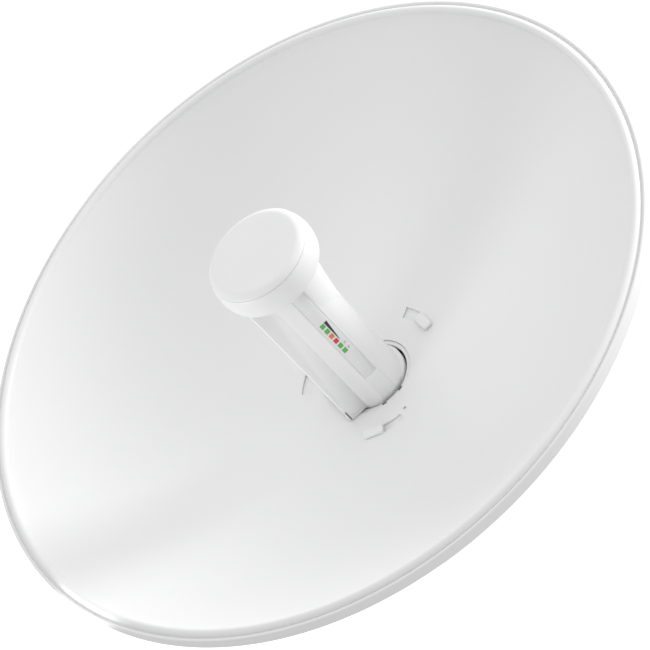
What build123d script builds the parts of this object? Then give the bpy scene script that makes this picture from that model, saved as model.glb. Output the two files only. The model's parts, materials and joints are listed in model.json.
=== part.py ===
from build123d import *
import os
from math import cos, degrees, radians, sin, sqrt

# Outdoor wireless bridge: a dish on a pole mount, with the radio standing in the middle of the dish.
# Millimetres. +Z is up, the dish looks along -Y, and the origin is the pole's centre, at the
# middle of the clamp. Stations along the dish's axis are Y values, worked out from the sizes below.

# ---- Driving dimensions ----
# Dish
dish_diameter = 420.0
bowl_depth = 78.0          # front of the rim to the bottom of the bowl
sheet = 0.9                # dish wall, along the axis
bead_radius = 2.8          # rolled bead round the rim
bead_tuck = 0.5            # how far the bowl's edge reaches into the bead
skirt_depth = 7.4          # how far the rim's outer skirt wraps back
skirt_wall = 1.9
skirt_edge_share = 0.4     # of the skirt's wall, rounded off at its edges
skirt_setback = 1.3        # skirt's front edge behind the bead's front
rim_groove = 1.1           # width of the groove between bead and skirt
index_hole_radius = 1.1
index_hole_at = 38.0       # distance from the dish's axis
index_hole_angle = 91.0    # from straight down, towards +X

# Bayonet between dish and hub
lug_count = 3
lug_first_angle = 60.0     # from straight down, towards +X
lug_at = 42.4              # lug's distance from the dish's axis
lug_length = 12.0          # round the circle
lug_width = 6.0            # across the circle
lug_thickness = 1.8
lug_neck_length = 8.0
lug_neck_width = 3.0
lug_corner = 1.2
twist = 16.0               # degrees from locked to free

# Radio, along its axis
radio_length = 128.6       # parting line of the cap to the bottom of the bowl
cap_height = 2.9
cap_face_radius = 25.7
cap_edge_radius = 30.6
band_radius = 32.1
band_bulge_at = 8.0        # behind the parting line
band_length = 14.5
band_back_radius = 31.1
parting_gap = 0.35
head_wall = 2.0
neck_start = 19.8          # behind the parting line
neck_start_radius = 24.4
neck_end = 66.0
neck_joint_radius = 22.0   # neck's tube inside the ring
neck_joint_depth = 12.0
shoulder_slopes = [(-0.2, 1), (-0.15, 1)]   # radius and Y, at the shoulder's two ends
neck_handles = (0.3, 0.75)               # shares of the neck's length, for its curve
cap_corner = 1.0           # thickening inside the cap's rounded edge
cap_rim_depth = 4.0        # cap's rim inside the ring

# Radio, across its axis
housing_half_width = 20.9  # to the flat side faces
housing_top_front = 18.6   # height of the round top at its front end
housing_top_rear = 18.2
side_swell = 0.76          # how much wider the round top gets towards the rear
panel_half_height = 4.8
keel_half_width = 16.0
keel_top = 14.0            # below the axis, where the chamfers meet the keel's sides
keel_below_collar = 2.5    # keel's underside, below the collar's outside
keel_bevel = 0.7
keel_front = 13.4          # behind the parting line
casing_wall = 2.0

# Lamp panel
strip_start = 21.5
strip_end = 105.0
strip_half_height = 4.2
strip_thickness = 0.6
lamp_count = 6
lamp_pitch = 4.9
lamp_first = 53.4          # behind the parting line
lamp_length = 3.4
lamp_height = 2.5
lamp_level = -1.2
lamp_depth = 5.0
lamp_proud = 0.1

# Spigot and collar
collar_bore = 21.95
collar_wall = 2.05
collar_proud = 0.2
nose_notch_depth = 4.0     # notch in the collar's rim for the latch's nose
key_notch_angles = (74.5, 106.5)         # from straight down, towards +X
key_notch_length = 3.0     # round the rim
key_notch_width = 1.3      # out from the bore
spigot_flange_radius = 20.5
spigot_length = 20.0
spigot_flange = 2.4
seal_width = 2.4
seal_thickness = 2.3
spigot_bore = 17.4

# Hub
hub_radius = 52.0
hub_rear_radius = 46.0
hub_depth = 24.0           # behind the sheet
hub_wall = 3.0
rib_count = 12
rib_thickness = 2.0
boss_radius = 5.0
boss_x = 17.0
boss_z = 26.0
insert_radius = 3.2
insert_length = 8.0
screw_radius = 2.5         # M5
screw_head_radius = 4.2
screw_head_height = 3.0
screw_socket_depth = 1.8
screw_length = 11.0

# Mount
pole_diameter = 50.0
axis_to_dish = 84.0        # pole's centre to the bottom of the bowl
plate = 2.5                # tilt bracket sheet
ear_beside_pole = 1.0      # outside of the tilt bracket's ears, beyond the pole's side
web_half_height = 34.0
cable_hole_radius = 17.0
pivot_y = -40.0
pivot_z = -15.0
lock_distance = 28.0       # lock bolt above the pivot
tilt_limit = 15.0
bolt_radius = 4.0          # M8
slot_play = 0.3
ear_reach = 9.0            # tilt bracket's ear behind the pivot
ear_margin = 3.0           # metal round the arc slot
pole_ear = 3.0
pole_ear_reach = 7.5       # pole bracket's ear in front of the pivot
ear_slot_wall = 3.0        # left between the ears' slots and the wings' faces
saddle_wall = 3.5
jaw_opening = 24.0         # between the jaws' faces on the stated pole
wing_thickness = 8.0
wing_margin = 9.5          # from a clamp bolt to the wing's end
jaw_half_height = 24.0
clamp_bolt_beside_pole = 13.5
carriage_head_radius = 8.0
carriage_head_height = 3.6
carriage_head_slope = 35.0 # degrees
carriage_neck = 8.0        # square under the head
bolt_tail = 38.0           # bolt's end, in front of the pole's centre
nut_flats = 13.0
nut_height = 6.5
bolt_head_height = 5.3
bolt_overhang = 2.0        # thread past the nut
flange_radius = 8.6
flange_height = 1.6
washer_radius = 8.0
washer_thickness = 1.6

# Inside the radio
board_half_width = 14.0
board_thickness = 1.6
board_level = -9.0
board_screw_x = 11.0
board_screw_at = (56.0, 112.0)   # behind the parting line
post_radius = 2.8
small_screw_length = 8.0
shield_at = 84.0           # middle of the shield, behind the parting line
shield_wall = 0.4
shield_height = 4.5
shield_half_width = 10.0
shield_length = 42.0
jack_width = 16.0
jack_height = 13.5
jack_length = 16.0
socket_width = 11.8
socket_height = 8.4
socket_depth = 12.5
key_height = 1.8           # slot for the plug's catch
contact_count = 8
contact_pitch = 1.02
contact_length = 8.75
contact_height = 0.8
end_plate_thickness = 2.0
button_radius = 1.8
button_x = 11.6
button_proud = 1.0
button_travel = 0.7
horn_radius = 13.0
horn_length = 34.0
bay_end = 48.0             # behind the parting line
bay_radius = 16.0
bay_wall = 2.4
horn_wall = 1.0
horn_flange_radius = 15.5
reflector_radius = 26.0
reflector_thickness = 0.8
cone_radius = 5.0
cone_height = 6.0
small_screw_radius = 1.25
small_head_radius = 2.4
small_head_height = 1.6
cover_screw_radius = 1.5
cover_head_radius = 2.8
cover_head_height = 1.8
cover_socket_radius = 1.05
cover_screw_x = 8.0
cover_screw_at = 36.0      # behind the parting line
cover_screw_length = 8.0

# Latch
latch_half_width = 15.6
latch_length = 8.0
latch_plate = 1.2
latch_proud = 0.8
latch_travel = 0.8
latch_nose_half_width = 3.5
nose_web = 1.5
nose_reach = 3.8
spring_wire = 0.35         # radius
spring_coil = 2.4
spring_turns = 5
spring_seat = 16.5         # below the axis

# Fits
running_fit = 0.05
clearance = 0.3
seat = 0.1
match = 0.01               # how near counts as the same place

# ---- Stations and shapes shared by several pieces ----
dish_y = -axis_to_dish
lip_y = dish_y - bowl_depth
dish_radius = dish_diameter / 2
bead_at = dish_radius - skirt_wall - rim_groove - bead_radius
bowl_edge = bead_at - bead_radius + bead_tuck
bowl_curve = (bowl_depth - bead_radius) / bowl_edge**2
ring_y = dish_y - radio_length
hub_rear_y = dish_y + sheet + hub_depth
spigot_end_y = dish_y + spigot_length
collar_front_y = dish_y - collar_proud
collar_radius = collar_bore + collar_wall
spigot_guide_radius = collar_bore - seat
seal_radius = collar_bore - running_fit
seal_groove_radius = seal_radius - seal_thickness
keel_bottom = collar_radius + keel_below_collar
saddle_radius = pole_diameter / 2
bracket_half_width = saddle_radius + ear_beside_pole
clamp_bolt_x = saddle_radius + clamp_bolt_beside_pole
wing_half_width = clamp_bolt_x + wing_margin
wing_y = jaw_opening / 2
lock_z = pivot_z + lock_distance
ear_inner = bracket_half_width + clearance
pole_ear_outer = ear_inner + pole_ear


def behind_cap(distance):
    """Y of a station behind the cap's parting line."""
    return ring_y + distance


def across(y):
    """Plane across the dish's axis at y. It faces the front: extruding goes forwards."""
    return Plane.XZ.offset(-y)


def bowl_front(radius):
    """Y of the bowl's reflecting face at a distance from the axis."""
    return dish_y - bowl_curve * radius**2


def round_the_axis(distance, angle):
    """Point in a plane across the axis, at an angle from straight down towards +X."""
    return (distance * sin(radians(angle)), -distance * cos(radians(angle)))


def bowl_arc(start, end, shift):
    """The bowl's parabola between two radii, moved back by shift, in the plane of X and Y."""
    middle = ((start + end) / 2, dish_y - bowl_curve * start * end + shift)
    return Bezier((start, bowl_front(start) + shift), middle, (end, bowl_front(end) + shift))


keel_end_y = bowl_front(sqrt(keel_half_width**2 + keel_bottom**2)) - clearance


def lug_angles():
    """Angles of the three bayonet lugs, from straight down towards +X."""
    return [lug_first_angle + 360.0 / lug_count * index for index in range(lug_count)]


def finish(piece, label):
    """Name a piece and write it."""
    piece.part.label = label
    export_step(piece.part, "parts/" + label + ".step")


os.makedirs("parts", exist_ok=True)

# ---- Dish ----
dish_hole_radius = collar_radius + clearance
slot_width = lug_neck_width + 2 * clearance
window_play = 2 * clearance
skirt_y = lip_y + skirt_setback
web_y = lip_y + bead_radius
neck_half_angle = degrees((lug_neck_length / 2 + clearance) / lug_at)

with BuildPart() as dish_reflector:
    with BuildSketch(Plane.XY):
        with BuildLine():
            front = bowl_arc(dish_hole_radius, bowl_edge, 0)
            Line(front @ 1, (bowl_edge, bowl_front(bowl_edge) + sheet))
            bowl_arc(dish_hole_radius, bowl_edge, sheet)
            Line(front @ 0, (dish_hole_radius, bowl_front(dish_hole_radius) + sheet))
        make_face()
        with Locations((bead_at, lip_y + bead_radius)):
            Circle(bead_radius)
        with BuildLine():
            Polyline(
                (bead_at, web_y),
                (dish_radius - skirt_wall / 2, web_y),
                (dish_radius - skirt_wall / 2, web_y + sheet),
                (bead_at, web_y + sheet),
                close=True,
            )
        make_face()
        with Locations((dish_radius - skirt_wall, skirt_y)):
            Rectangle(skirt_wall, skirt_depth, align=(Align.MIN, Align.MIN))
    revolve(axis=Axis.Y)
    circles = dish_reflector.edges().filter_by(GeomType.CIRCLE)
    skirt_edges = circles.filter_by(lambda e: abs(e.radius - dish_radius) < match)
    fillet(skirt_edges, skirt_wall * skirt_edge_share)
    # Bayonet slots: a window for the lug's head, and an arc that holds its neck
    with BuildSketch(across(dish_y + sheet + clearance)):
        for angle in lug_angles():
            with Locations(Location((*round_the_axis(lug_at, angle + twist), 0), (0, 0, angle + twist))):
                RectangleRounded(lug_length + window_play, lug_width + window_play, lug_corner)
            with BuildLine(mode=Mode.PRIVATE) as slot_path:
                CenterArc((0, 0), lug_at, angle - 90 - neck_half_angle, twist + neck_half_angle)
            SlotArc(slot_path.edge(), slot_width)
        with Locations(round_the_axis(index_hole_at, index_hole_angle)):
            Circle(index_hole_radius)
    extrude(amount=bowl_depth, mode=Mode.SUBTRACT)
finish(dish_reflector, "dish_reflector")

# ---- Hub: flange under the bowl, collar through it, three lugs in front of it ----
flange_back_y = bowl_front(hub_radius) + sheet + clearance + hub_wall
shelf_y = flange_back_y + hub_wall
rib_front_y = shelf_y - clearance
lug_base_y = bowl_front(lug_at + lug_width / 2) - clearance
boss_places = [(x, z) for x in (-boss_x, boss_x) for z in (-boss_z, boss_z)]
collar_mid = (collar_bore + collar_radius) / 2
nose_slot = latch_nose_half_width + clearance

with BuildPart() as rear_hub:
    with BuildSketch(Plane.XY):
        with BuildLine():
            flange = bowl_arc(collar_bore, hub_radius, sheet + clearance)
            Polyline(
                flange @ 1,
                (hub_radius, flange_back_y),
                (hub_rear_radius, hub_rear_y),
                (hub_rear_radius - hub_wall, hub_rear_y),
                (hub_radius - hub_wall, shelf_y),
                (collar_bore, shelf_y),
                flange @ 0,
            )
        make_face()
        with BuildLine():
            Polyline(
                (collar_bore, collar_front_y),
                (collar_radius, collar_front_y),
                (collar_radius, hub_rear_y),
                (collar_bore, hub_rear_y),
                close=True,
            )
        make_face()
    revolve(axis=Axis.Y)
    # Ribs between collar and wall, a little short of the rear face
    with BuildSketch(across(hub_rear_y - hub_wall)):
        with PolarLocations(0, rib_count):
            with Locations((collar_mid, 0)):
                Rectangle(hub_rear_radius - collar_mid, rib_thickness, align=(Align.MIN, Align.CENTER))
    extrude(amount=hub_rear_y - hub_wall - rib_front_y)
    with BuildSketch(across(hub_rear_y)):
        with Locations(*boss_places):
            Circle(boss_radius)
    extrude(amount=hub_rear_y - rib_front_y)
    with BuildSketch(across(hub_rear_y)):
        with Locations(*boss_places):
            Circle(insert_radius)
    extrude(amount=screw_length, mode=Mode.SUBTRACT)
    # Lugs: a neck through the slot and a head in front of the bowl
    for angle in lug_angles():
        place = Location((*round_the_axis(lug_at, angle), 0), (0, 0, angle))
        with BuildSketch(across(flange_back_y)):
            with Locations(place):
                Rectangle(lug_neck_length, lug_neck_width)
        extrude(amount=flange_back_y - lug_base_y)
        with BuildSketch(across(lug_base_y)):
            with Locations(place):
                RectangleRounded(lug_length, lug_width, lug_corner)
        extrude(amount=lug_thickness)
    # Notches in the collar's rim: one for the latch's nose, and two key slots beside the lamp panel
    with BuildSketch(across(collar_front_y + nose_notch_depth)):
        with Locations((0, -collar_mid)):
            Rectangle(2 * nose_slot, collar_radius - collar_bore + 2 * clearance)
        for angle in key_notch_angles:
            with Locations(Location((*round_the_axis(collar_bore, angle), 0), (0, 0, angle))):
                Rectangle(key_notch_length, 2 * key_notch_width)
    extrude(amount=nose_notch_depth, mode=Mode.SUBTRACT)
finish(rear_hub, "rear_hub")

with BuildPart() as hub_inserts:
    with BuildSketch(across(hub_rear_y - seat)):
        with Locations(*boss_places):
            Circle(insert_radius - seat)
            Circle(screw_radius + seat, mode=Mode.SUBTRACT)
    extrude(amount=insert_length)
finish(hub_inserts, "hub_inserts")

# ---- Tilt bracket: a web on the hub and two ears with an arc slot for the lock bolt ----
web_rear_y = hub_rear_y + plate
ear_rim = bolt_radius + slot_play + ear_margin
slot_rear_y = pivot_y + lock_distance * sin(radians(tilt_limit)) + ear_rim

with BuildPart() as tilt_bracket:
    with BuildSketch(across(web_rear_y)):
        RectangleRounded(2 * bracket_half_width, 2 * web_half_height, 2 * plate)
        Circle(cable_hole_radius, mode=Mode.SUBTRACT)
        with Locations(*boss_places):
            Circle(screw_radius + clearance, mode=Mode.SUBTRACT)
    extrude(amount=plate)
    for side in (-1, 1):
        ear_plane = Plane.YZ.offset(side * bracket_half_width)
        with BuildSketch(ear_plane):
            with BuildLine():
                Polyline(
                    (hub_rear_y, -web_half_height + plate),
                    (pivot_y, pivot_z - ear_reach),
                    (pivot_y + ear_reach, pivot_z),
                    (slot_rear_y, lock_z),
                    (slot_rear_y, lock_z + ear_rim),
                    (hub_rear_y, lock_z + ear_rim),
                    close=True,
                )
            make_face()
            fillet(vertices().sort_by(Axis.Y)[-2:].sort_by(Axis.X)[-1], ear_rim / 2)
            with Locations((pivot_y, pivot_z)):
                Circle(bolt_radius + running_fit, mode=Mode.SUBTRACT)
            with BuildLine(mode=Mode.PRIVATE) as lock_arc:
                CenterArc((pivot_y, pivot_z), lock_distance, 90 - tilt_limit, 2 * tilt_limit)
            SlotArc(lock_arc.edge(), 2 * (bolt_radius + slot_play), mode=Mode.SUBTRACT)
        extrude(amount=-side * plate)
finish(tilt_bracket, "tilt_bracket")

with BuildPart() as hub_screws:
    with BuildSketch(across(web_rear_y)):
        with Locations(*boss_places):
            Circle(screw_radius)
    extrude(amount=screw_length)
    with BuildSketch(across(web_rear_y + screw_head_height)):
        with Locations(*boss_places):
            Circle(screw_head_radius)
    extrude(amount=screw_head_height)
    with BuildSketch(across(web_rear_y + screw_head_height)):
        with Locations(*boss_places):
            RegularPolygon(screw_radius, 6)
    extrude(amount=screw_socket_depth, mode=Mode.SUBTRACT)
finish(hub_screws, "hub_screws")

# ---- Pole bracket: the fixed jaw, with ears outside the tilt bracket's ears ----
clamp_places = [(-clamp_bolt_x, 0), (clamp_bolt_x, 0)]
wing_back_y = -wing_y - wing_thickness
ear_slot_y = -wing_y - ear_slot_wall
saddle_front_y = -saddle_radius - saddle_wall
slot_inner = bracket_half_width - plate - 4 * clearance
pole_ear_front_y = pivot_y - pole_ear_reach


def saddle_outline(points):
    """A jaw's outline seen from above, with the pole's seat cut out of it."""
    Polygon(*points, align=None)
    mirror(about=Plane.YZ)
    Circle(saddle_radius, mode=Mode.SUBTRACT)


with BuildPart() as pole_bracket:
    with BuildSketch(Plane.XY.offset(-jaw_half_height)):
        saddle_outline([
            (0, saddle_front_y),
            (slot_inner, saddle_front_y),
            (slot_inner, ear_slot_y),
            (ear_inner, ear_slot_y),
            (ear_inner, pole_ear_front_y),
            (pole_ear_outer, pole_ear_front_y),
            (pole_ear_outer, wing_back_y),
            (wing_half_width, wing_back_y),
            (wing_half_width, -wing_y),
            (0, -wing_y),
        ])
    extrude(amount=2 * jaw_half_height)
    ear_ends = edges().filter_by(Axis.X).filter_by(lambda e: abs(e.center().Y - pole_ear_front_y) < match)
    fillet(ear_ends, pole_ear_reach)
    with BuildSketch(Plane.YZ.offset(pole_ear_outer)):
        with Locations((pivot_y, pivot_z), (pivot_y, lock_z)):
            Circle(bolt_radius + seat)
    extrude(amount=-2 * pole_ear_outer, mode=Mode.SUBTRACT)
    with BuildSketch(across(-wing_y)):
        with Locations(*clamp_places):
            Circle(bolt_radius + running_fit)
    extrude(amount=wing_thickness, mode=Mode.SUBTRACT)
finish(pole_bracket, "pole_bracket")

with BuildPart() as clamp_jaw:
    with BuildSketch(Plane.XY.offset(-jaw_half_height)):
        saddle_outline([
            (0, -saddle_front_y),
            (slot_inner, -saddle_front_y),
            (ear_inner, -wing_back_y),
            (wing_half_width, -wing_back_y),
            (wing_half_width, wing_y),
            (0, wing_y),
        ])
    extrude(amount=2 * jaw_half_height)
    with BuildSketch(across(-wing_back_y)):
        with Locations(*clamp_places):
            Rectangle(carriage_neck + 2 * seat, carriage_neck + 2 * seat)
    extrude(amount=wing_thickness, mode=Mode.SUBTRACT)
finish(clamp_jaw, "clamp_jaw")

with BuildPart() as carriage_bolts:
    with BuildSketch(across(-wing_back_y)):
        with Locations(*clamp_places):
            Circle(bolt_radius)
    extrude(amount=-wing_back_y + bolt_tail)
    with BuildSketch(across(-wing_back_y)):
        with Locations(*clamp_places):
            Rectangle(carriage_neck, carriage_neck)
    extrude(amount=wing_thickness / 2)
    with BuildSketch(across(-wing_back_y)):
        with Locations(*clamp_places):
            Circle(carriage_head_radius)
    extrude(amount=-carriage_head_height, taper=carriage_head_slope)
finish(carriage_bolts, "carriage_bolts")


def nuts_on(plane, places, hole):
    """Hexagon nuts with a round flange, standing on a plane and growing the way it faces."""
    with BuildPart() as nuts:
        with BuildSketch(plane):
            with Locations(*places):
                Circle(flange_radius)
                Circle(hole, mode=Mode.SUBTRACT)
        extrude(amount=flange_height)
        with BuildSketch(plane):
            with Locations(*places):
                RegularPolygon(nut_flats / 2, 6, major_radius=False)
                Circle(hole, mode=Mode.SUBTRACT)
        extrude(amount=nut_height)
    return nuts


flange_nuts = nuts_on(across(wing_back_y), clamp_places, bolt_radius + running_fit)
finish(flange_nuts, "flange_nuts")

# ---- Pivot and lock bolts, with washers and nuts ----
bolt_end = pole_ear_outer + washer_thickness + nut_height + bolt_overhang


def cross_bolt(level):
    """A hexagon bolt along X through both brackets' ears."""
    head_plane = Plane.YZ.offset(-pole_ear_outer - washer_thickness)
    with BuildPart() as bolt:
        with BuildSketch(head_plane):
            with Locations((pivot_y, level)):
                Circle(bolt_radius)
        extrude(amount=pole_ear_outer + washer_thickness + bolt_end)
        with BuildSketch(head_plane):
            with Locations((pivot_y, level)):
                RegularPolygon(nut_flats / 2, 6, major_radius=False)
        extrude(amount=-bolt_head_height)
    return bolt


pivot_bolt = cross_bolt(pivot_z)
finish(pivot_bolt, "pivot_bolt")

lock_bolt = cross_bolt(lock_z)
finish(lock_bolt, "lock_bolt")

with BuildPart() as bolt_washers:
    for side in (-1, 1):
        with BuildSketch(Plane.YZ.offset(side * pole_ear_outer)):
            with Locations((pivot_y, pivot_z), (pivot_y, lock_z)):
                Circle(washer_radius)
                Circle(bolt_radius + seat, mode=Mode.SUBTRACT)
        extrude(amount=side * washer_thickness)
finish(bolt_washers, "bolt_washers")

cross_places = [(pivot_y, pivot_z), (pivot_y, lock_z)]
nut_plane = Plane.YZ.offset(pole_ear_outer + washer_thickness)
bracket_nuts = nuts_on(nut_plane, cross_places, bolt_radius + seat)
finish(bracket_nuts, "bracket_nuts")

# ---- Radio's head: cap and ring ----
cap_back_y = ring_y - parting_gap / 2
ring_front_y = ring_y + parting_gap / 2
ring_wall_y = behind_cap(neck_start) - head_wall
reflector_y = ring_y + cap_rim_depth

with BuildPart() as radome_cap:
    with BuildSketch(Plane.XY):
        with BuildLine():
            face_y = ring_y - cap_height
            face = Line((0, face_y), (cap_face_radius, face_y))
            TangentArc(face @ 1, (cap_edge_radius, cap_back_y), tangent=(1, 0))
            Polyline(
                (cap_edge_radius, cap_back_y),
                (cap_edge_radius - head_wall - clearance, cap_back_y),
                (cap_edge_radius - head_wall - clearance, ring_y + cap_rim_depth),
                (cap_edge_radius - 2 * head_wall, ring_y + cap_rim_depth),
                (cap_edge_radius - 2 * head_wall, face_y + head_wall + cap_corner),
                (cap_face_radius - head_wall, face_y + head_wall),
                (0, face_y + head_wall),
                (0, face_y),
            )
        make_face()
    revolve(axis=Axis.Y)
finish(radome_cap, "radome_cap")

with BuildPart() as radome_ring:
    with BuildSketch(Plane.XY):
        with BuildLine():
            band_start = (cap_edge_radius, ring_front_y)
            band_end = (band_back_radius, behind_cap(band_length))
            shoulder_end = (neck_start_radius, behind_cap(neck_start))
            ThreePointArc(band_start, (band_radius, behind_cap(band_bulge_at)), band_end)
            Spline(band_end, shoulder_end, tangents=shoulder_slopes)
            Polyline(
                shoulder_end,
                (neck_joint_radius + clearance, behind_cap(neck_start)),
                (neck_joint_radius + clearance, ring_wall_y),
                (band_back_radius - 2 * head_wall, ring_wall_y - head_wall),
                (cap_edge_radius - head_wall, behind_cap(band_bulge_at)),
                (cap_edge_radius - head_wall, ring_front_y),
                band_start,
            )
        make_face()
    revolve(axis=Axis.Y)
finish(radome_ring, "radome_ring")

with BuildPart() as sub_reflector:
    with BuildSketch(Plane.XY):
        Polygon(
            (0, reflector_y),
            (reflector_radius, reflector_y),
            (reflector_radius, reflector_y + reflector_thickness),
            (cone_radius, reflector_y + reflector_thickness),
            (0, reflector_y + cone_height),
            align=None,
        )
    revolve(axis=Axis.Y)
finish(sub_reflector, "sub_reflector")

# ---- Radio's casing ----
neck_y = behind_cap(neck_start)
neck_end_y = behind_cap(neck_end)
neck_length = neck_end - neck_start
bay_end_y = behind_cap(bay_end)
cavity_y = bay_end_y + casing_wall
seal_y = dish_y + spigot_flange
guide_y = seal_y + seal_width + 2 * seat
cover_screw_places = [(x, behind_cap(cover_screw_at)) for x in (-cover_screw_x, cover_screw_x)]
lamp_stations = [behind_cap(lamp_first + lamp_pitch * index) for index in range(lamp_count)]
wall_x = housing_half_width - casing_wall
wider_than_radio = 4 * band_radius


def lamp_outlines(stations, play):
    """The lamp windows' outlines in the plane of Y and Z."""
    with Locations(*[(station, lamp_level) for station in stations]):
        Rectangle(lamp_length + play, lamp_height + play)


with BuildPart() as feed_housing:
    # Neck, above the lamp panel only
    with BuildSketch(Plane.XY):
        with BuildLine():
            neck_curve = Bezier(
                (neck_start_radius, neck_y),
                (neck_joint_radius, behind_cap(neck_start + neck_length * neck_handles[0])),
                (housing_top_front, behind_cap(neck_start + neck_length * neck_handles[1])),
                (housing_top_front, neck_end_y),
            )
            Polyline(neck_curve @ 1, (0, neck_end_y), (0, neck_y), neck_curve @ 0)
        make_face()
    revolve(axis=Axis.Y)
    # Round top, a little wider and lower towards the rear
    with BuildSketch(across(neck_y)):
        Ellipse(housing_half_width, housing_top_front)
    with BuildSketch(across(keel_end_y)):
        Ellipse(housing_half_width + side_swell, housing_top_rear)
    loft()
    with BuildSketch(across(neck_y)):
        with Locations((0, panel_half_height)):
            Rectangle(wider_than_radio, wider_than_radio, align=(Align.CENTER, Align.MAX))
    extrude(amount=neck_y - keel_end_y, mode=Mode.SUBTRACT)
    # Flat sides that carry the lamp panel
    with BuildSketch(across(keel_end_y)):
        Rectangle(2 * housing_half_width, 2 * panel_half_height)
    extrude(amount=keel_end_y - neck_y)
    # Hollow behind the horn's bay
    with BuildSketch(across(cavity_y)):
        Ellipse(wall_x, housing_top_front - casing_wall)
    with BuildSketch(across(keel_end_y)):
        Ellipse(wall_x + side_swell, housing_top_rear - casing_wall)
    loft(mode=Mode.SUBTRACT)
    with BuildSketch(across(keel_end_y)):
        Rectangle(2 * wall_x, 2 * panel_half_height)
    extrude(amount=keel_end_y - cavity_y, mode=Mode.SUBTRACT)
    # Tube that joins the ring, and the horn's bay
    with BuildSketch(across(neck_y)):
        Circle(neck_joint_radius)
    extrude(amount=neck_joint_depth)
    with BuildSketch(across(cavity_y)):
        Circle(bay_radius + bay_wall)
    extrude(amount=cavity_y - neck_y)
    for x, y in cover_screw_places:
        with BuildSketch(Plane.XY.offset(-keel_bottom + casing_wall)):
            with Locations((x, y)):
                Circle(cover_screw_radius + casing_wall)
        extrude(amount=keel_bottom - casing_wall - bay_radius + bay_wall)
    with BuildSketch(across(bay_end_y)):
        Circle(bay_radius)
    extrude(amount=bay_end_y - neck_y + neck_joint_depth, mode=Mode.SUBTRACT)
    with BuildSketch(across(cavity_y)):
        Circle(horn_radius - casing_wall)
    extrude(amount=casing_wall, mode=Mode.SUBTRACT)
    for x, y in cover_screw_places:
        with BuildSketch(Plane.XY.offset(-keel_bottom + casing_wall)):
            with Locations((x, y)):
                Circle(cover_screw_radius + running_fit)
        extrude(amount=cover_screw_length - casing_wall + seat, mode=Mode.SUBTRACT)
    # Spigot: flange, seal groove, guide, and its bore
    with BuildSketch(Plane.XY):
        Polygon(
            (spigot_bore, keel_end_y),
            (spigot_flange_radius, keel_end_y),
            (spigot_flange_radius, seal_y),
            (seal_groove_radius, seal_y),
            (seal_groove_radius, guide_y),
            (spigot_guide_radius, guide_y),
            (spigot_guide_radius, spigot_end_y),
            (spigot_bore, spigot_end_y),
            align=None,
        )
    revolve(axis=Axis.Y)
    # Seat of the lamp strip, and the windows' holes
    with BuildSketch(Plane.YZ.offset(housing_half_width)):
        with Locations((behind_cap(strip_start), 0)):
            Rectangle(strip_end - strip_start, 2 * strip_half_height, align=(Align.MIN, Align.CENTER))
    extrude(amount=-strip_thickness, mode=Mode.SUBTRACT)
    with BuildSketch(Plane.YZ.offset(housing_half_width)):
        lamp_outlines(lamp_stations, 2 * seat)
    extrude(amount=-lamp_depth, mode=Mode.SUBTRACT)
finish(feed_housing, "feed_housing")

with BuildPart() as led_panel:
    with BuildSketch(Plane.YZ.offset(housing_half_width)):
        with Locations((behind_cap(strip_start) + seat, 0)):
            Rectangle(
                strip_end - strip_start - 2 * seat,
                2 * (strip_half_height - seat),
                align=(Align.MIN, Align.CENTER),
            )
        with Locations(*[(station, lamp_level) for station in lamp_stations]):
            Rectangle(lamp_length + 2 * seat, lamp_height + 2 * seat, mode=Mode.SUBTRACT)
    extrude(amount=-strip_thickness)
finish(led_panel, "led_panel")

lamp_colours = {"lamp_green": (0, 1, 4, 5), "lamp_amber": (2,), "lamp_red": (3,)}
for lamp_name, order in lamp_colours.items():
    with BuildPart() as lamp:
        with BuildSketch(Plane.YZ.offset(housing_half_width + lamp_proud)):
            lamp_outlines([lamp_stations[index] for index in order], 0)
        extrude(amount=-lamp_depth)
    finish(lamp, lamp_name)

# Everything that the head's ring takes up, filled in to the axis
with BuildPart() as head_envelope:
    with BuildSketch(Plane.XY):
        with BuildLine():
            ThreePointArc(band_start, (band_radius, behind_cap(band_bulge_at)), band_end)
            Spline(band_end, shoulder_end, tangents=shoulder_slopes)
            Polyline(shoulder_end, (0, neck_y), (0, ring_front_y), band_start)
        make_face()
    revolve(axis=Axis.Y)

# ---- Keel cover: lower half of the casing ----
keel_points = [
    (housing_half_width, -panel_half_height),
    (keel_half_width, -keel_top),
    (keel_half_width, -keel_bottom),
]
inner_x = keel_half_width - casing_wall
keel_hollow = [
    (wall_x, -panel_half_height),
    (inner_x, -keel_top - clearance),
    (inner_x, -keel_bottom + casing_wall),
]
notch_top = -keel_bottom - latch_proud + latch_plate + latch_travel + seat
latch_front_y = keel_end_y - latch_length - clearance
board_top = board_level + board_thickness
board_screw_places = [(x, behind_cap(y)) for x in (-board_screw_x, board_screw_x) for y in board_screw_at]


def both_sides(points):
    """A closed outline from points on the +X side and their mirror images."""
    return Polygon(*points, *[(-x, z) for x, z in reversed(points)], align=None)


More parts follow.
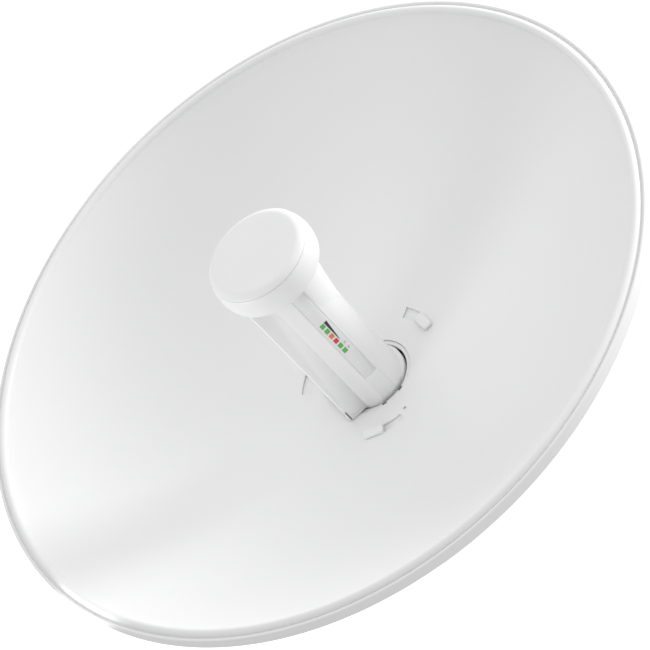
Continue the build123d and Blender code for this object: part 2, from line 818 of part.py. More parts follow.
with BuildPart() as keel_cover:
    with BuildSketch(across(keel_end_y)):
        both_sides(keel_points)
    extrude(amount=keel_end_y - behind_cap(keel_front))
    corners = edges().filter_by(Axis.Y).filter_by(lambda e: abs(e.center().Z + keel_bottom) < match)
    chamfer(corners, keel_bevel)
    with BuildSketch(across(keel_end_y - casing_wall)):
        both_sides(keel_hollow)
    extrude(amount=keel_end_y - casing_wall - neck_y - clearance, mode=Mode.SUBTRACT)
    add(head_envelope.part, mode=Mode.SUBTRACT)
    with BuildSketch(across(keel_end_y)):
        Circle(spigot_flange_radius + seat)
    extrude(amount=keel_end_y - neck_y, mode=Mode.SUBTRACT)
    # Posts for the board, and a bridge over the latch's spring
    with BuildSketch(Plane.XY.offset(-keel_bottom + casing_wall)):
        with Locations(*board_screw_places):
            Circle(post_radius)
    extrude(amount=keel_bottom - casing_wall + board_level)
    with BuildSketch(Plane.XY.offset(-spring_seat)):
        with Locations((0, keel_end_y - casing_wall)):
            Rectangle(2 * inner_x, latch_length, align=(Align.CENTER, Align.MAX))
    extrude(amount=casing_wall)
    with BuildSketch(Plane.XY.offset(board_level)):
        with Locations(*board_screw_places):
            Circle(small_screw_radius + running_fit)
    extrude(amount=-small_screw_length, mode=Mode.SUBTRACT)
    with BuildSketch(Plane.XY.offset(-keel_bottom)):
        with Locations(*cover_screw_places):
            Circle(cover_head_radius + seat)
    extrude(amount=cover_head_height / 2, mode=Mode.SUBTRACT)
    with BuildSketch(Plane.XY.offset(-keel_bottom)):
        with Locations(*cover_screw_places):
            Circle(cover_screw_radius + seat)
    extrude(amount=casing_wall, mode=Mode.SUBTRACT)
    # Latch: a slit across the keel's rear corner, a well for the spring, a slot for the nose
    with BuildSketch(Plane.XY.offset(notch_top)):
        with Locations((0, keel_end_y)):
            Rectangle(wider_than_radio, latch_length + 2 * clearance, align=(Align.CENTER, Align.MAX))
    extrude(amount=-keel_bottom, mode=Mode.SUBTRACT)
    with BuildSketch(Plane.XY.offset(-spring_seat)):
        with Locations((0, keel_end_y)):
            Rectangle(2 * nose_slot, latch_length, align=(Align.CENTER, Align.MAX))
    extrude(amount=-keel_bottom, mode=Mode.SUBTRACT)
finish(keel_cover, "keel_cover")

with BuildPart() as cover_screws:
    with BuildSketch(Plane.XY.offset(-keel_bottom + cover_head_height / 2)):
        with Locations(*cover_screw_places):
            Circle(cover_head_radius)
    extrude(amount=-cover_head_height / 2)
    with BuildSketch(Plane.XY.offset(-keel_bottom)):
        with Locations(*cover_screw_places):
            Circle(cover_screw_radius)
    extrude(amount=cover_screw_length)
    with BuildSketch(Plane.XY.offset(-keel_bottom)):
        with Locations(*cover_screw_places):
            RegularPolygon(cover_socket_radius, 6)
    extrude(amount=cover_head_height / 3, mode=Mode.SUBTRACT)
finish(cover_screws, "cover_screws")

# ---- Release latch: a plate under the keel, a post for its spring and a nose into the collar ----
plate_low = -keel_bottom - latch_proud
plate_top = plate_low + latch_plate
latch_mid_y = keel_end_y - clearance - latch_length / 2 - clearance
nose_top = -collar_bore - clearance
nose_low = -collar_radius + seat

with BuildPart() as release_latch:
    with BuildSketch(Plane.XY.offset(plate_low)):
        with Locations((0, keel_end_y - clearance)):
            Rectangle(2 * latch_half_width, latch_length, align=(Align.CENTER, Align.MAX))
    extrude(amount=latch_plate)
    with BuildSketch(Plane.XY.offset(plate_top)):
        with Locations((0, latch_mid_y)):
            Circle(spring_coil - spring_wire - clearance)
    extrude(amount=latch_plate * 2)
    with BuildSketch(Plane.XY.offset(plate_top)):
        with Locations((0, keel_end_y - clearance)):
            Rectangle(2 * latch_nose_half_width, nose_web, align=(Align.CENTER, Align.MAX))
    extrude(amount=nose_top - plate_top)
    with BuildSketch(Plane.XY.offset(nose_low)):
        with Locations((0, keel_end_y - clearance)):
            Rectangle(2 * latch_nose_half_width, nose_reach, align=(Align.CENTER, Align.MIN))
    extrude(amount=nose_top - nose_low)
finish(release_latch, "release_latch")

with BuildPart() as latch_spring:
    spring_height = -spring_seat - plate_top - 2 * (spring_wire + seat)
    spring_base = (0, latch_mid_y, plate_top + spring_wire + seat)
    with BuildLine():
        coil = Helix(spring_height / spring_turns, spring_height, spring_coil, center=spring_base)
    with BuildSketch(Plane(coil @ 0, z_dir=coil % 0)):
        Circle(spring_wire)
    sweep(path=coil)
finish(latch_spring, "latch_spring")

# ---- Inside the radio ----
end_plate_y = spigot_end_y - end_plate_thickness
board_rear_y = end_plate_y - 2 * clearance
jack_front_y = spigot_end_y - jack_length
button_z = board_top + button_radius + small_head_height / 2

with BuildPart() as spigot_seal:
    with BuildSketch(Plane.XY):
        with Locations((seal_groove_radius, seal_y + seat)):
            Rectangle(seal_radius - seal_groove_radius, seal_width, align=(Align.MIN, Align.MIN))
        fillet(vertices().group_by(Axis.X)[-1], seal_width / 3)
    revolve(axis=Axis.Y)
finish(spigot_seal, "spigot_seal")

with BuildPart() as feed_horn:
    with BuildSketch(across(bay_end_y)):
        Circle(horn_flange_radius)
        Circle(horn_radius - horn_wall, mode=Mode.SUBTRACT)
    extrude(amount=2 * horn_wall)
    with BuildSketch(across(bay_end_y)):
        Circle(horn_radius)
        Circle(horn_radius - horn_wall, mode=Mode.SUBTRACT)
    extrude(amount=horn_length)
finish(feed_horn, "feed_horn")

with BuildPart() as main_board:
    with BuildSketch(Plane.XY.offset(board_level)):
        with Locations((0, board_rear_y)):
            Rectangle(
                2 * board_half_width,
                board_rear_y - cavity_y - clearance,
                align=(Align.CENTER, Align.MAX),
            )
        with Locations(*board_screw_places):
            Circle(small_screw_radius + seat, mode=Mode.SUBTRACT)
    extrude(amount=board_thickness)
finish(main_board, "main_board")

with BuildPart() as board_screws:
    with BuildSketch(Plane.XY.offset(board_top)):
        with Locations(*board_screw_places):
            Circle(small_screw_radius)
    extrude(amount=-small_screw_length)
    with BuildSketch(Plane.XY.offset(board_top)):
        with Locations(*board_screw_places):
            Circle(small_head_radius)
    extrude(amount=small_head_height)
finish(board_screws, "board_screws")

with BuildPart() as rf_shield:
    with BuildSketch(Plane.XY.offset(board_top)):
        with Locations((0, behind_cap(shield_at))):
            Rectangle(2 * shield_half_width, shield_length)
    extrude(amount=shield_height)
    with BuildSketch(Plane.XY.offset(board_top)):
        with Locations((0, behind_cap(shield_at))):
            Rectangle(2 * (shield_half_width - shield_wall), shield_length - 2 * shield_wall)
    extrude(amount=shield_height - shield_wall, mode=Mode.SUBTRACT)
finish(rf_shield, "rf_shield")

with BuildPart() as ethernet_jack:
    with BuildSketch(across(spigot_end_y)):
        with Locations((0, board_top)):
            Rectangle(jack_width, jack_height, align=(Align.CENTER, Align.MIN))
    extrude(amount=jack_length)
    with BuildSketch(across(spigot_end_y)):
        with Locations((0, board_top + (jack_height - socket_height) / 2)):
            Rectangle(socket_width, socket_height, align=(Align.CENTER, Align.MIN))
            Rectangle(socket_width / 3, socket_height + key_height, align=(Align.CENTER, Align.MIN))
    extrude(amount=socket_depth, mode=Mode.SUBTRACT)
finish(ethernet_jack, "ethernet_jack")

contact_level = board_top + (jack_height - socket_height) / 2
contact_row = contact_pitch * (contact_count - 1)
contact_starts = [contact_pitch * index - contact_row / 2 for index in range(contact_count)]
contact_places = [(x, contact_level) for x in contact_starts]

with BuildPart() as jack_contacts:
    with BuildSketch(across(jack_front_y + jack_length - socket_depth)):
        with Locations(*contact_places):
            Rectangle(contact_pitch / 2, contact_height, align=(Align.CENTER, Align.MIN))
    extrude(amount=-contact_length)
finish(jack_contacts, "jack_contacts")

with BuildPart() as end_plate:
    with BuildSketch(across(spigot_end_y)):
        Circle(spigot_bore - seat)
        with Locations((0, board_top)):
            Rectangle(
                jack_width + 2 * seat,
                jack_height + seat,
                align=(Align.CENTER, Align.MIN),
                mode=Mode.SUBTRACT,
            )
        with Locations((button_x, button_z)):
            Circle(button_radius + seat, mode=Mode.SUBTRACT)
    extrude(amount=end_plate_thickness)
finish(end_plate, "end_plate")

with BuildPart() as reset_button:
    with BuildSketch(across(spigot_end_y + button_proud)):
        with Locations((button_x, button_z)):
            Circle(button_radius)
    extrude(amount=button_proud + end_plate_thickness + clearance)
finish(reset_button, "reset_button")

with BuildPart() as reset_switch:
    with BuildSketch(Plane.XY.offset(board_top)):
        with Locations((button_x, end_plate_y - clearance - button_travel - seat)):
            Rectangle(2 * button_radius, 2 * button_radius, align=(Align.CENTER, Align.MAX))
    extrude(amount=2 * button_radius)
finish(reset_switch, "reset_switch")
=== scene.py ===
import json
import math

import bmesh
import bpy
from mathutils import Matrix, Vector


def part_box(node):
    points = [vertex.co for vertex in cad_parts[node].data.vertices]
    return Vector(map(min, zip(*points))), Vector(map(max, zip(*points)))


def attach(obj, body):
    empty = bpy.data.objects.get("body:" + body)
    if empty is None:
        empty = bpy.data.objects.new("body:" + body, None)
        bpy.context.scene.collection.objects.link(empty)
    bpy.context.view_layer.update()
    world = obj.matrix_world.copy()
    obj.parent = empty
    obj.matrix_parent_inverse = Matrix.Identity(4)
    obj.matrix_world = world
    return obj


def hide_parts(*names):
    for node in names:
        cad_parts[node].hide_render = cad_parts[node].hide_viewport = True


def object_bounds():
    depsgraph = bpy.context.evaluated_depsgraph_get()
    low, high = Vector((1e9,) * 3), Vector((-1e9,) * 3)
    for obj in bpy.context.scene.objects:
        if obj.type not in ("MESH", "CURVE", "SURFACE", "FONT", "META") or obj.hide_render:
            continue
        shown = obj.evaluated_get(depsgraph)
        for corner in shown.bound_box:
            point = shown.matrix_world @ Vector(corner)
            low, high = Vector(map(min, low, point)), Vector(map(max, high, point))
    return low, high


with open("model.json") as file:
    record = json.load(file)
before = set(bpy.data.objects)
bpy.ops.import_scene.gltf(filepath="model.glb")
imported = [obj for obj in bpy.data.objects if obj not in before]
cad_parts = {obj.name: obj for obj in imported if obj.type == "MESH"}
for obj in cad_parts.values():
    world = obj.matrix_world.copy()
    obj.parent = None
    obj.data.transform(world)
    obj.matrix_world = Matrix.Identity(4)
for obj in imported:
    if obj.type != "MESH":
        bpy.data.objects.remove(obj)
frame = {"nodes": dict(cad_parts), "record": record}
cad_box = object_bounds()

MM = 0.001


# ---- Places taken from the frame ----
def corner(node, axis, side):
    """One coordinate of a node's box: side 0 is the low end, 1 the high end."""
    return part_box(node)[side][axis]


X, Y, Z = range(3)
dish_low, dish_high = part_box("dish_reflector")
dish_radius = (dish_high[X] - dish_low[X]) / 2
lip_y = dish_low[Y]
dish_depth = 78 * MM
vertex_y = lip_y + dish_depth


# ---- Camera ----
camera_azimuth = math.radians(47.0)
camera_roll = math.radians(46.2)
camera_distance = 1.87
aim_ahead = 57.5 * MM
lens_mm = 184.65
aim_right, aim_up = 1.23 * MM, -0.67 * MM


def place_camera():
    """The camera looks at the radio from the side and is rolled, so the dish leans back."""
    towards = Vector((math.sin(camera_azimuth), -math.cos(camera_azimuth), 0))
    level = Vector((math.cos(camera_azimuth), math.sin(camera_azimuth), 0))
    zenith = Vector((0, 0, 1))
    right = math.sin(camera_roll) * zenith + math.cos(camera_roll) * level
    up = math.cos(camera_roll) * zenith - math.sin(camera_roll) * level
    data = bpy.data.cameras.new("camera")
    data.lens = lens_mm
    data.sensor_width = 36
    camera = bpy.data.objects.new("camera", data)
    bpy.context.scene.collection.objects.link(camera)
    turn = Matrix((right, up, towards)).transposed().to_4x4()
    aim = Vector((0, vertex_y - aim_ahead, 0))
    place = aim + towards * camera_distance + right * aim_right + up * aim_up
    camera.matrix_world = Matrix.Translation(place) @ turn
    bpy.context.scene.camera = camera


place_camera()


# ---- Shader maths ----
class Nodes:
    """The node tree of a material or the room, with one method that adds any node."""

    def __init__(self, tree):
        self.tree = tree

    def add(self, kind, settings=None, inputs=None):
        """A node of a type, with its settings first and then its sockets' values or links."""
        node = self.tree.nodes.new(kind)
        for name, value in (settings or {}).items():
            setattr(node, name, value)
        for name, value in (inputs or {}).items():
            socket = node.inputs[name]
            if isinstance(value, Value):
                self.tree.links.new(value.socket, socket)
            else:
                socket.default_value = value
        return node

    def out(self, kind, output, settings=None, inputs=None):
        """The same, as a value that can be reckoned with."""
        return Value(self, self.add(kind, settings, inputs).outputs[output])


class Value:
    """A number's socket that Python's operators work on."""

    def __init__(self, nodes, socket):
        self.nodes = nodes
        self.socket = socket

    def maths(self, operation, first, second):
        return self.nodes.out("ShaderNodeMath", 0, {"operation": operation}, {0: first, 1: second})

    def __add__(self, other):
        return self.maths("ADD", self, other)

    def __radd__(self, other):
        return self.maths("ADD", other, self)

    def __sub__(self, other):
        return self.maths("SUBTRACT", self, other)

    def __rsub__(self, other):
        return self.maths("SUBTRACT", other, self)

    def __mul__(self, other):
        return self.maths("MULTIPLY", self, other)

    def __rmul__(self, other):
        return self.maths("MULTIPLY", other, self)

    def clamped(self):
        """The same value, held between 0 and 1."""
        return self.nodes.out("ShaderNodeClamp", 0, None, {"Value": self})


# A Mix node's sockets when it mixes colours
MIX_FACTOR, MIX_FROM, MIX_TO = 0, 6, 7
MIX_RESULT = 2


class Finish:
    """One material: a principled surface and the maths that feeds it."""

    def __init__(self, name, **constants):
        self.material = bpy.data.materials.new(name)
        self.material.use_nodes = True
        self.nodes = Nodes(self.material.node_tree)
        self.surface = self.material.node_tree.nodes["Principled BSDF"]
        for socket, value in constants.items():
            self.surface.inputs[socket.replace("_", " ")].default_value = value
        place = self.nodes.add("ShaderNodeTexCoord")
        self.place = Value(self.nodes, place.outputs["Object"])

    def feed(self, socket, value):
        """Links a value to one of the surface's sockets."""
        self.nodes.tree.links.new(value.socket, self.surface.inputs[socket])

    def noise(self, size_mm, detail=2.0, roughness=0.5, stretch=None):
        """Cloudy noise from 0 to 1 whose blotches are about size_mm across."""
        place = self.place
        if stretch is not None:
            place = self.nodes.out("ShaderNodeMapping", 0, None, {"Vector": place, "Scale": stretch})
        inputs = {"Vector": place, "Scale": 1 / (size_mm * MM), "Detail": detail, "Roughness": roughness}
        return self.nodes.out("ShaderNodeTexNoise", 0, None, inputs)

    def cells(self, size_mm):
        """Distance to the middle of cells that are about size_mm across."""
        inputs = {"Vector": self.place, "Scale": 1 / (size_mm * MM)}
        return self.nodes.out("ShaderNodeTexVoronoi", "Distance", {"feature": "F1"}, inputs)

    def colour(self, mask, low, high):
        """Base colour from low to high by a mask."""
        inputs = {MIX_FACTOR: mask, MIX_FROM: (*low, 1), MIX_TO: (*high, 1)}
        mixed = self.nodes.out("ShaderNodeMix", MIX_RESULT, {"data_type": "RGBA"}, inputs)
        self.feed("Base Color", mixed)

    def roughness(self, mask, low, high):
        """Roughness from low to high by a mask."""
        rough = (mask * (high - low) + low).clamped()
        self.feed("Roughness", rough)

    def bump(self, height, depth_mm):
        """Relief whose full height is depth_mm."""
        inputs = {"Height": height, "Distance": depth_mm * MM, "Strength": 1.0}
        self.feed("Normal", self.nodes.out("ShaderNodeBump", 0, None, inputs))


def moulded(name, low, high, rough, grain_mm=0.5, relief_mm=0.004, **constants):
    """A moulded plastic: faint mottling, and the fine grain of a blasted mould."""
    finish = Finish(name, **constants)
    finish.colour(finish.noise(38, 3), low, high)
    finish.roughness(finish.noise(6, 3), rough - 0.03, rough + 0.04)
    finish.bump(finish.noise(grain_mm, 2), relief_mm)
    return finish.material


def powder_coat(name, low, high, rough):
    """Satin powder coat: soft orange peel over sheet metal, with faint blotches of colour about 90 mm
    across.
    """
    finish = Finish(name, Specular_IOR_Level=0.5)
    finish.colour(finish.noise(90, 2), low, high)
    finish.roughness(finish.noise(15, 3), rough - 0.03, rough + 0.04)
    peel = finish.noise(2.2, 2) * 0.7 + finish.noise(0.8, 2) * 0.3
    finish.bump(peel, 0.008)
    return finish.material


def plated(name, low, high, rough, stretch=(1, 1, 1)):
    """Zinc plating: cloudy brightness and fine drawn marks."""
    finish = Finish(name, Metallic=1.0)
    finish.colour(finish.noise(5, 4), low, high)
    finish.roughness(finish.noise(2.5, 4), rough - 0.08, rough + 0.1)
    finish.bump(finish.noise(0.5, 3, 0.6, stretch), 0.01)
    return finish.material


def spangled(name, low, high, rough):
    """Galvanised sheet: angular spangles a few millimetres across."""
    finish = Finish(name, Metallic=1.0)
    spangle = finish.cells(7)
    finish.colour((spangle * 0.7 + finish.noise(9, 3) * 0.3).clamped(), low, high)
    finish.roughness(spangle.clamped(), rough - 0.08, rough + 0.12)
    finish.bump(finish.noise(0.9, 3), 0.012)
    return finish.material


def cast(name, low, high, rough):
    """Die-cast metal, blasted: a fine pitted skin."""
    finish = Finish(name, Metallic=1.0)
    finish.colour(finish.noise(12, 4), low, high)
    finish.roughness(finish.noise(3, 3), rough - 0.06, rough + 0.08)
    pits = finish.noise(0.7, 3, 0.65) * 0.6 + finish.noise(2.5, 2) * 0.4
    finish.bump(pits, 0.05)
    return finish.material


def lamp(name, colour, glow):
    """A tinted lamp window with a soft light behind it."""
    finish = Finish(
        name,
        Roughness=0.25,
        Coat_Weight=0.4,
        Emission_Strength=glow,
        Emission_Color=(*colour, 1),
    )
    dark = tuple(part * 0.75 for part in colour)
    finish.colour(finish.noise(1.5, 2), dark, colour)
    finish.bump(finish.noise(0.6, 2), 0.01)
    return finish.material


materials = {
    "dish_paint": powder_coat("dish_paint", (0.875, 0.877, 0.88), (0.90, 0.90, 0.90), 0.36),
    "white_plastic": moulded(
        "white_plastic",
        (0.86, 0.862, 0.865),
        (0.90, 0.90, 0.90),
        0.34,
        Subsurface_Weight=0.05,
        Subsurface_Radius=(0.002, 0.002, 0.002),
        Subsurface_Scale=1.0,
    ),
    "panel_plastic": moulded("panel_plastic", (0.83, 0.833, 0.836), (0.86, 0.862, 0.865), 0.26, 0.4, 0.002),
    "grey_plastic": moulded("grey_plastic", (0.30, 0.31, 0.32), (0.34, 0.345, 0.35), 0.5, 0.6, 0.02),
    "black_plastic": moulded("black_plastic", (0.012, 0.012, 0.013), (0.02, 0.02, 0.02), 0.42, 0.6, 0.015),
    "ink_black": moulded("ink_black", (0.02, 0.02, 0.022), (0.035, 0.035, 0.035), 0.4, 0.3, 0.003),
    "ink_grey": moulded("ink_grey", (0.12, 0.13, 0.13), (0.16, 0.16, 0.16), 0.4, 0.3, 0.003),
    "seal_rubber": moulded("seal_rubber", (0.008, 0.008, 0.008), (0.014, 0.014, 0.014), 0.62, 0.4, 0.01),
    "lamp_green": lamp("lamp_green", (0.09, 0.42, 0.05), 0.2),
    "lamp_amber": lamp("lamp_amber", (0.72, 0.19, 0.04), 0.2),
    "lamp_red": lamp("lamp_red", (0.62, 0.02, 0.03), 0.2),
    "cast_metal": cast("cast_metal", (0.55, 0.56, 0.57), (0.66, 0.665, 0.67), 0.48),
    "galvanised": spangled("galvanised", (0.50, 0.51, 0.52), (0.70, 0.705, 0.71), 0.36),
    "zinc": plated("zinc", (0.60, 0.605, 0.60), (0.76, 0.755, 0.74), 0.3),
    "spring_steel": plated("spring_steel", (0.45, 0.45, 0.46), (0.58, 0.58, 0.59), 0.28, (1, 1, 8)),
    "bright_metal": plated("bright_metal", (0.72, 0.725, 0.73), (0.82, 0.822, 0.825), 0.28),
    "brass": plated("brass", (0.62, 0.42, 0.16), (0.78, 0.56, 0.24), 0.25),
    "board": moulded("board", (0.008, 0.11, 0.03), (0.014, 0.16, 0.05), 0.38, 1.2, 0.02),
}


# ---- Carried-over CAD pieces: a finish and softened edges ----
weld_distance = 0.001 * MM


def soften(node, width_mm, crease):
    """Rounds a CAD piece's sharp edges a little and shades its curved faces smooth."""
    piece = frame["nodes"][node]
    piece.data.shade_smooth()
    weld = piece.modifiers.new("weld", "WELD")
    weld.merge_threshold = weld_distance
    bevel = piece.modifiers.new("edge", "BEVEL")
    bevel.width = width_mm * MM
    bevel.segments = 2
    bevel.limit_method = "ANGLE"
    bevel.angle_limit = math.radians(crease)
    bevel.harden_normals = True
    bevel.use_clamp_overlap = True


# Width in mm of the rounded edges, and the least angle in degrees that counts as an edge
usual_edge = (0.15, 32)
edges = {
    "feed_housing": (0.5, 18),
    "keel_cover": (0.5, 18),
    "led_panel": (0.1, 18),
    "pole_bracket": (0.5, 25),
    "clamp_jaw": (0.5, 25),
    "tilt_bracket": (0.3, 25),
    "rear_hub": (0.3, 25),
}
slots = {entry["node"]: entry["material_slot"] for entry in frame["record"]["subparts"]}
for node, piece in frame["nodes"].items():
    piece.data.materials.clear()
    piece.data.materials.append(materials[slots[node]])
    soften(node, *edges.get(node, usual_edge))


# ---- Making meshes ----
def shell(name, outline, turns):
    """A closed piece turned about the dish's axis from an outline of (radius, y) points."""
    mesh = bmesh.new()
    rings = []
    for index in range(turns):
        angle = 2 * math.pi * index / turns
        rings.append([
            mesh.verts.new((radius * math.sin(angle), y, radius * math.cos(angle)))
            for radius, y in outline
        ])
    count = len(outline)
    for index in range(turns):
        here, there = rings[index], rings[(index + 1) % turns]
        for step in range(count):
            following = (step + 1) % count
            mesh.faces.new((here[step], here[following], there[following], there[step]))
    return solid(name, mesh)


def close_between(mesh, near, far):
    """Joins two matching rings of corners into a closed straight-sided solid."""
    mesh.faces.new(near)
    mesh.faces.new(list(reversed(far)))
    for index in range(len(near)):
        following = (index + 1) % len(near)
        mesh.faces.new((near[following], near[index], far[index], far[following]))


def solid(name, mesh):
    """Turns a bmesh into an object in the scene, with its faces looking outwards."""
    bmesh.ops.recalc_face_normals(mesh, faces=mesh.faces)
    data = bpy.data.meshes.new(name)
    mesh.to_mesh(data)
    mesh.free()
    piece = bpy.data.objects.new(name, data)
    bpy.context.scene.collection.objects.link(piece)
    return piece


def smooth(piece, degrees=32):
    """Shades a piece smooth, with edges sharper than the angle kept crisp."""
    piece.data.shade_smooth()
    piece.data.set_sharp_from_angle(angle=math.radians(degrees))


def settle(piece):
    """Applies a piece's modifiers, so its mesh is its final shape."""
    graph = bpy.context.evaluated_depsgraph_get()
    mesh = bpy.data.meshes.new_from_object(piece.evaluated_get(graph))
    piece.modifiers.clear()
    piece.data = mesh


def stands_for(piece, node, body, slot):
    """A made piece takes the place of a CAD node, rides on its body and takes its slot's finish."""
    piece.data.materials.clear()
    piece.data.materials.append(materials[slot])
    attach(piece, body)
    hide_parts(node)


def arc(centre, radius, start, end, steps):
    """Points on an arc in a plane, by angles in degrees."""
    points = []
    for index in range(steps + 1):
        angle = math.radians(start + (end - start) * index / steps)
        points.append((centre[0] + radius * math.cos(angle), centre[1] + radius * math.sin(angle)))
    return points


# ---- Dish ----
bead_radius = 2.8 * MM
skirt_wall = 1.9 * MM
rim_groove = 1.1 * MM
sheet = 0.9 * MM
skirt_setback = 1.3 * MM
skirt_depth = 7.4 * MM
skirt_bevel = 0.3 * MM
hole_radius = 24.3 * MM
hole_bevel = 0.25 * MM
bead_at = dish_radius - skirt_wall - rim_groove - bead_radius
bead_tuck = 0.5 * MM
bowl_edge = bead_at - bead_radius + bead_tuck
bowl_curve = (dish_depth - bead_radius) / bowl_edge**2
bowl_steps = 60
turns_round_dish = 288
groove_slope, groove_sink, groove_rise = 0.35 * MM, 0.15 * MM, 0.2 * MM

# Rounded parts of the rim's section: from and to an angle in degrees, in so many steps
bead_front = (184, 360, 22)
bead_back = (20, 130, 10)
skirt_nose = (180, 360, 10)


def bowl_y(radius):
    """The bowl's reflecting face."""
    return vertex_y - bowl_curve * radius**2


def along_bowl(start, end, behind):
    """The bowl's section from one radius to another, at a depth behind the reflecting face."""
    points = []
    for index in range(bowl_steps + 1):
        radius = start + (end - start) * index / bowl_steps
        points.append((radius, bowl_y(radius) + behind))
    return points


def dish_outline():
    """The dish's section: bowl, rolled bead, groove and skirt, then back along the rear face."""
    hole_y = bowl_y(hole_radius)
    hole_edge = [(hole_radius, hole_y + hole_bevel), (hole_radius + hole_bevel, hole_y)]
    bowl = along_bowl(hole_radius, bowl_edge, 0)[1:-1]
    floor_y = lip_y + bead_radius
    bead_middle = (bead_at, floor_y)
    bead = arc(bead_middle, bead_radius, *bead_front)
    inner = dish_radius - skirt_wall
    groove = [(inner - groove_slope, floor_y + groove_sink), (inner, floor_y - groove_rise)]
    nose_round = skirt_wall / 2
    skirt_front = lip_y + skirt_setback
    nose = arc((inner + nose_round, skirt_front + nose_round), nose_round, *skirt_nose)
    skirt_back = skirt_front + skirt_depth
    skirt = [
        (dish_radius, skirt_back - skirt_bevel),
        (dish_radius - skirt_bevel, skirt_back),
        (inner + skirt_bevel, skirt_back),
        (inner, skirt_back - skirt_bevel),
        (inner, floor_y + sheet),
    ]
    under_bead = arc(bead_middle, bead_radius, *bead_back)
    rear_face = along_bowl(bowl_edge, hole_radius, sheet)
    return hole_edge + bowl + bead + groove + nose + skirt + under_bead + rear_face


# Bayonet slots and index hole, cut through the bowl; angles in degrees from straight down towards +X
lug_at = 42.4 * MM
lug_angles = (60, 180, 300)
twist = 16                 # degrees from locked to free
window_length, window_width = 12.6 * MM, 6.6 * MM
slot_width = 3.6 * MM
slot_lead = 5.8            # degrees of slot before the locked lug
slot_steps = 12
index_hole_at = 38 * MM
index_hole_angle = 91
index_hole_radius = 1.1 * MM
hole_sides = 20
cut_ahead, cut_behind = 20 * MM, 5 * MM


def round_the_axis(distance, angle):
    """X and Z of a point at an angle in degrees from straight down towards +X."""
    turn = math.radians(angle)
    return distance * math.sin(turn), -distance * math.cos(turn)


def prism(outline, low_y, high_y, name):
    """A straight-sided solid from an outline of (x, z) points, along Y."""
    mesh = bmesh.new()
    close_between(mesh, *([mesh.verts.new((x, y, z)) for x, z in outline] for y in (low_y, high_y)))
    return solid(name, mesh)


def slot_outline(angle):
    """The arc that holds a lug's neck, and the window it comes through, as one outline."""
    window_middle = angle + twist
    window_half = math.degrees(window_length / 2 / lug_at)
    window_start, window_end = window_middle - window_half, window_middle + window_half
    outer, inner = [], []
    for start, end, half in (
        (angle - slot_lead, window_start, slot_width / 2),
        (window_start, window_end, window_width / 2),
    ):
        for index in range(slot_steps + 1):
            here = start + (end - start) * index / slot_steps
            outer.append(round_the_axis(lug_at + half, here))
            inner.append(round_the_axis(lug_at - half, here))
    return outer + list(reversed(inner))


def cut(piece, cutter):
    """Takes a cutter's volume out of a piece and removes the cutter."""
    boolean = piece.modifiers.new("cut", "BOOLEAN")
    boolean.object = cutter
    boolean.solver = "EXACT"
    settle(piece)
    bpy.data.objects.remove(cutter)


def make_dish():
    """The whole dish, with its bayonet slots and index hole."""
    dish = shell("dish_bowl", dish_outline(), turns_round_dish)
    near, far = vertex_y - cut_ahead, vertex_y + cut_behind
    for angle in lug_angles:
        cut(dish, prism(slot_outline(angle), near, far, "slot"))
    middle = round_the_axis(index_hole_at, index_hole_angle)
    circle = arc(middle, index_hole_radius, 0, 360, hole_sides)[:-1]
    cut(dish, prism(circle, near, far, "hole"))
    smooth(dish)
    stands_for(dish, "dish_reflector", "dish", "dish_paint")


make_dish()


# ---- Print beside the lamps ----
cap_height = 2.9 * MM
ring_y = corner("radome_cap", Y, 0) + cap_height
panel_face = corner("led_panel", X, 1)
ink = 0.04 * MM
wedge = [(51.6, 0.7), (51.6, 2.7), (68.6, 1.15), (68.6, 0.85)]


def bar(start, end, low, high):
    """A rectangle's outline on the panel."""
    return [(start, low), (start, high), (end, high), (end, low)]


def print_on_panel(name, outlines, material):
    """Thin ink shapes on the lamp panel, from outlines of (distance behind the cap, height) in mm."""
    mesh = bmesh.new()
    for outline in outlines:
        close_between(mesh, *(
            [mesh.verts.new((x, ring_y + along * MM, height * MM)) for along, height in outline]
            for x in (panel_face - ink, panel_face + ink)
        ))
    piece = solid(name, mesh)
    piece.data.materials.append(material)
    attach(piece, "radio")


marks = [
    bar(72.2, 73.8, 2.0, 2.3),
    bar(72.8, 73.8, 1.2, 1.5),
    bar(77.2, 77.6, 1.2, 2.3),
    bar(78.2, 78.6, 1.2, 1.9),
]
print_on_panel("strength_wedge", [wedge], materials["ink_black"])
print_on_panel("lamp_marks", marks, materials["ink_grey"])


# ---- Floor, light and surroundings ----
floor_half = 6
floor_below = 30 * MM
light_way = Vector((-0.55, -0.10, 0.62)).normalized()
room_dark, room_bright = 0.555, 1.08
room_seen = 1.05


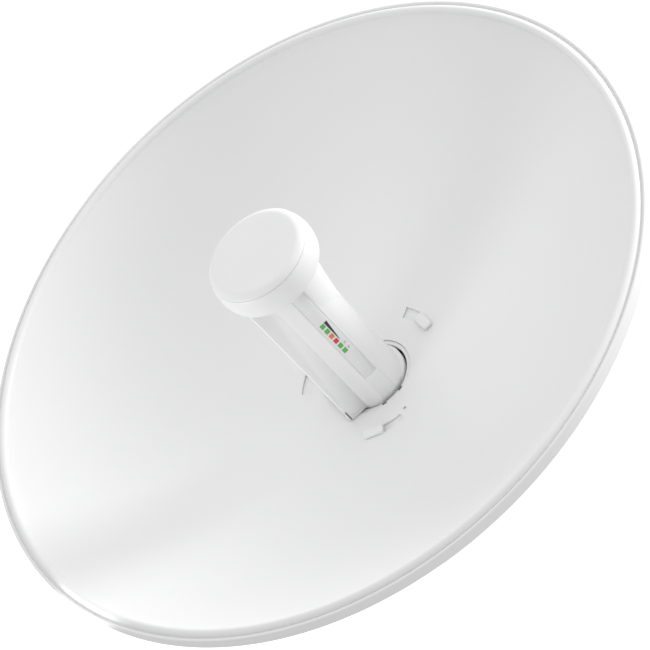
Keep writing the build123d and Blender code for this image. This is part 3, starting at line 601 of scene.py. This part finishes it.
def make_floor():
    """A wide pale floor under the object, seen by the camera but kept from tinting the dish."""
    mesh = bmesh.new()
    bmesh.ops.create_grid(mesh, x_segments=2, y_segments=2, size=floor_half)
    floor = solid("floor", mesh)
    floor.location.z = cad_box[0][Z] - floor_below
    finish = Finish("floor", Roughness=0.9, Emission_Color=(1, 1, 1, 1), Emission_Strength=0.5)
    finish.colour(finish.noise(400, 2), (0.93, 0.93, 0.93), (0.95, 0.95, 0.95))
    floor.data.materials.append(finish.material)
    floor.visible_diffuse = False
    floor.visible_glossy = False
    floor.visible_shadow = False


def make_surroundings():
    """A soft white room, brighter on the light's side, that the camera sees as plain white."""
    world = bpy.data.worlds.new("room")
    world.use_nodes = True
    bpy.context.scene.world = world
    nodes = Nodes(world.node_tree)
    base = world.node_tree.nodes["Background"]
    way = nodes.out("ShaderNodeTexCoord", "Generated")
    from_light = nodes.out(
        "ShaderNodeVectorMath", "Value", {"operation": "DOT_PRODUCT"}, {0: way, 1: light_way}
    )
    seen = nodes.out("ShaderNodeLightPath", "Is Camera Ray")
    lit = from_light * 0.5 + 0.5
    strength = (lit * (room_bright - room_dark) + room_dark) * (1 - seen) + seen * room_seen
    world.node_tree.links.new(strength.socket, base.inputs["Strength"])
    base.inputs["Color"].default_value = (1, 1, 1, 1)


def soft_box(name, place, aim, size, power, spread=180):
    """A square soft light that looks at a point, in metres and watts, with its spread in degrees."""
    data = bpy.data.lights.new(name, "AREA")
    data.shape = "SQUARE"
    data.size = size
    data.energy = power
    data.spread = math.radians(spread)
    light = bpy.data.objects.new(name, data)
    bpy.context.scene.collection.objects.link(light)
    light.location = place
    light.rotation_euler = (Vector(aim) - Vector(place)).to_track_quat("-Z", "Y").to_euler()
    light.visible_camera = False


make_floor()
make_surroundings()
soft_box("card", place=(0.05, -0.21, -0.2), aim=(0.01, -0.155, 0), size=0.1, power=0.024, spread=75)
soft_box("key", place=(-0.1, -0.3, 1.75), aim=(0, -0.12, 0), size=0.45, power=16)
bpy.context.scene.view_settings.view_transform = "Standard"
